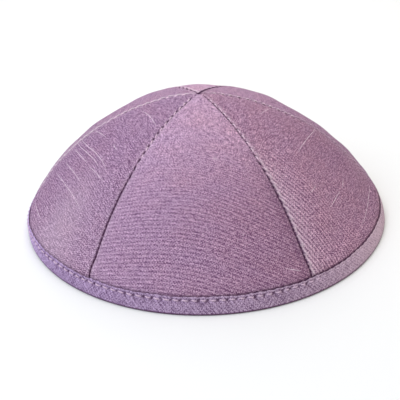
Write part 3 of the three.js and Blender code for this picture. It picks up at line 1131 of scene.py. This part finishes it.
def seam_running_stitch(panel, seam, along):
    sink = -0.14 + 1.5 * smooth_step(along / CLOTH_LENGTH, 0.36, 0.56)
    step = np.linspace(-1.0, 1.0, 9)
    turn = panel["start"] + (seam["thread"] + 0.14 * step) / dome_out(along)
    places_along = along + seam["half"] * step
    lift = -HOLLOW_DEPTH * seam["hollow"] * smooth_step(places_along, 2.0, HOLLOW_FULL_AT)
    lift = lift - sink - 0.6 * step**4
    path = dome_point(turn, np.ones(9), places_along, lift)
    outward = dome_point(turn, np.ones(9), places_along, lift + 1.0) - path
    return tube(path, outward, np.full(9, 0.30), np.full(9, 0.20), sides=6)


stitches = []
for panel, seam in zip(PANELS, SEAMS):
    start = FIRST_SEAM_STITCH + SEAM_SHIFT * panel["number"] - SEAM_STITCH + SEAM_STITCH * seam["first"]
    for along in np.arange(start, CLOTH_LENGTH * SEAM_THREAD_END, SEAM_STITCH):
        place = along + random.uniform(-SEAM_THREAD_WANDER, SEAM_THREAD_WANDER)
        stitches.append(seam_running_stitch(panel, seam, place))
seam_thread = join_tubes("seam_stitches", stitches, pale_thread)
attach(seam_thread, "root")
print("stitches in the seams:", len(stitches))

# %% [markdown]
# Slubs
# Raw silk is spun unevenly, and a thick place in the yarn, a slub, shows as a thin pale line that stands
# up from the cloth. The clearest ones on the real cap are on the panels to the left and right of the
# front one. They follow the threads, so they are laid out on the flat piece: how far down it, and from
# where to where across it, in millimetres. A fourth number is the slant of a line in degrees, where it
# differs from the panel's grain.

# %% Where the slubs lie
SLUBS = {
    "panel_front_left": [
        (28.5, -8, 11), (49.6, -23, -8.4, 1), (58.8, -27, 13, 3), (61.3, -26, 6, 3), (64.2, -24, -4, 5),
        (64.8, 0, 16.7, -5), (72.2, -23, 1, 4.2), (50.8, 1, 8), (79.4, -24, 17, 2.5), (97.3, -25, -7),
    ],
    "panel_front_right": [
        (82, -15, -2), (71.5, -19.5, -13, 0), (95.6, -6, 29, -10), (54.7, -5, 26, -7.3), (80.6, 1, 6.5, -21),
        (31.2, 2, 14),
    ],
    "panel_front": [(47, 6, 9), (93.7, 34.5, 41.6, 10)],
    "panel_rear_right": [(52, -14, 9), (66, 5, 24), (90, -20, -4)],
    "panel_rear": [(38, -9, 8), (57, -22, -6), (74, 2, 26), (96, -5, 12)],
    "panel_rear_left": [(45, -12, 4), (62, -6, 18), (79, -28, -12), (93, 8, 30)],
}
print("slubs:", sum(len(lines) for lines in SLUBS.values()))


# %% From the flat piece back to the panel
def fold_back(panel, across, down):
    """The turn and the distance along that a place on the flat piece, cut on grain, has on the cap."""
    along = np.array(down, dtype=float)
    turn = np.zeros_like(along)
    for _ in range(30):
        unrolled, widening = unroll(along)
        turn = np.arcsin(np.clip(across / unrolled, -0.95, 0.95)) / widening
        along = down + unrolled * (1.0 - np.cos(turn * widening))
    return turn, along


def slub_yarn(panel, down, start, end, lean=None):
    count = max(12, int(abs(end - start) * 2.2))
    across = np.linspace(start, end, count)
    grain = math.radians(panel["grain"] if lean is None else lean)
    wander = 0.05 * np.sin(across * 0.5 + down) + 0.03 * np.sin(across * 2.1)
    straight_down = down + (across - (start + end) / 2) * math.tan(grain) + wander
    turn, along = fold_back(panel, across, straight_down)
    edge = dome_out(along) * (panel["half"] - np.abs(turn))
    lift = outer_lift(panel, turn, edge, along)
    taper = np.sin(math.pi * np.linspace(0.02, 0.98, count)) ** 0.5
    uneven = 0.75 + 0.35 * np.sin(across * 1.7 + start) * np.sin(across * 0.63)
    path = dome_point(panel["middle"] + turn, turn / panel["half"], along, lift + 0.01)
    outward = dome_point(panel["middle"] + turn, turn / panel["half"], along, lift + 1.0) - path
    return tube(path, outward, 0.15 * taper * uneven, 0.08 * taper * uneven, sides=6)


# %% Slub material and piece
slub_dark = (0.720, 0.540, 0.670, 1.0)
slub_pale = (0.940, 0.780, 0.880, 1.0)
SLUB_RELIEF = 0.00005
slub_yarn_cloth, tree, shader = new_material("slub_yarn")
places = cloth_places(tree)
fibre = stretched_noise(tree, places, 0.8, 0.25, 3.0)
shade = weighted_sum(tree, 0.5, [(fibre, 1.6)])
plug(tree, shader.inputs["Base Color"], mix_colours(tree, shade, slub_dark, slub_pale))
plug(tree, shader.inputs["Roughness"], weighted_sum(tree, 0.55, [(fibre, 0.3)]))
shader.inputs["Sheen Weight"].default_value = 0.15
emboss(tree, shader, fibre, SLUB_RELIEF)

yarns = [slub_yarn(panel, *line) for panel in PANELS for line in SLUBS[panel["name"]]]
slub_yarns = join_tubes("slub_yarns", yarns, slub_yarn_cloth)
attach(slub_yarns, "root")

# %% [markdown]
# Floor and light
# The cap stands on a white studio table that fades into a white wall. A large soft light hangs over it,
# a stronger, cooler one stands to the left, a plain white one behind, and a weak, warm one to the right.
# So the left panels turn bluish and light and the right ones reddish and darker, with no hard shadow.
# Each light's row gives its direction and its height in degrees, its size, its power and its colour.

# %% Floor
FLOOR_REACH = 4000.0
floor_points = np.array([[x, y, 0.0] for x, y in [(-1, -1), (1, -1), (1, 1), (-1, 1)]]) * FLOOR_REACH
floor_paint, tree, shader = new_material("white_table")
shader.inputs["Base Color"].default_value = (0.95, 0.95, 0.95, 1.0)
shader.inputs["Roughness"].default_value = 0.9
shader.inputs["Specular IOR Level"].default_value = 0.1
floor = make_piece("table", floor_points, [[0, 1, 2, 3]], floor_paint)
floor.location.z = -0.00005

# %% Lights
bpy.context.scene.view_settings.view_transform = "Standard"
world = bpy.data.worlds.new("white_room")
world.use_nodes = True
world.node_tree.nodes["Background"].inputs["Color"].default_value = (1.0, 1.0, 1.0, 1.0)
world.node_tree.nodes["Background"].inputs["Strength"].default_value = 0.5
bpy.context.scene.world = world

LIGHTS = [
    ("overhead", 0, 88, 0.9, 1.6, (1.0, 1.0, 0.80)),
    ("left", -60, 50, 0.7, 3.66, (0.79, 0.86, 1.0)),
    ("back", 180, 45, 0.7, 2.6, (1.0, 1.0, 1.0)),
    ("right", 90, 15, 0.7, 0.8, (1.0, 0.58, 0.34)),
]
LIGHT_DISTANCE = 0.9
for name, azimuth, elevation, size, power, colour in LIGHTS:
    lamp_data = bpy.data.lights.new(name, "AREA")
    lamp_data.shape = "SQUARE"
    lamp_data.size = size
    lamp_data.energy = power
    lamp_data.color = colour
    lamp = bpy.data.objects.new(name, lamp_data)
    azimuth = math.radians(azimuth)
    elevation = math.radians(elevation)
    level = math.cos(elevation)
    away = Vector((math.sin(azimuth) * level, -math.cos(azimuth) * level, math.sin(elevation)))
    lamp.location = away * LIGHT_DISTANCE
    lamp.rotation_euler = (-away).to_track_quat("-Z", "Y").to_euler()
    bpy.context.scene.collection.objects.link(lamp)
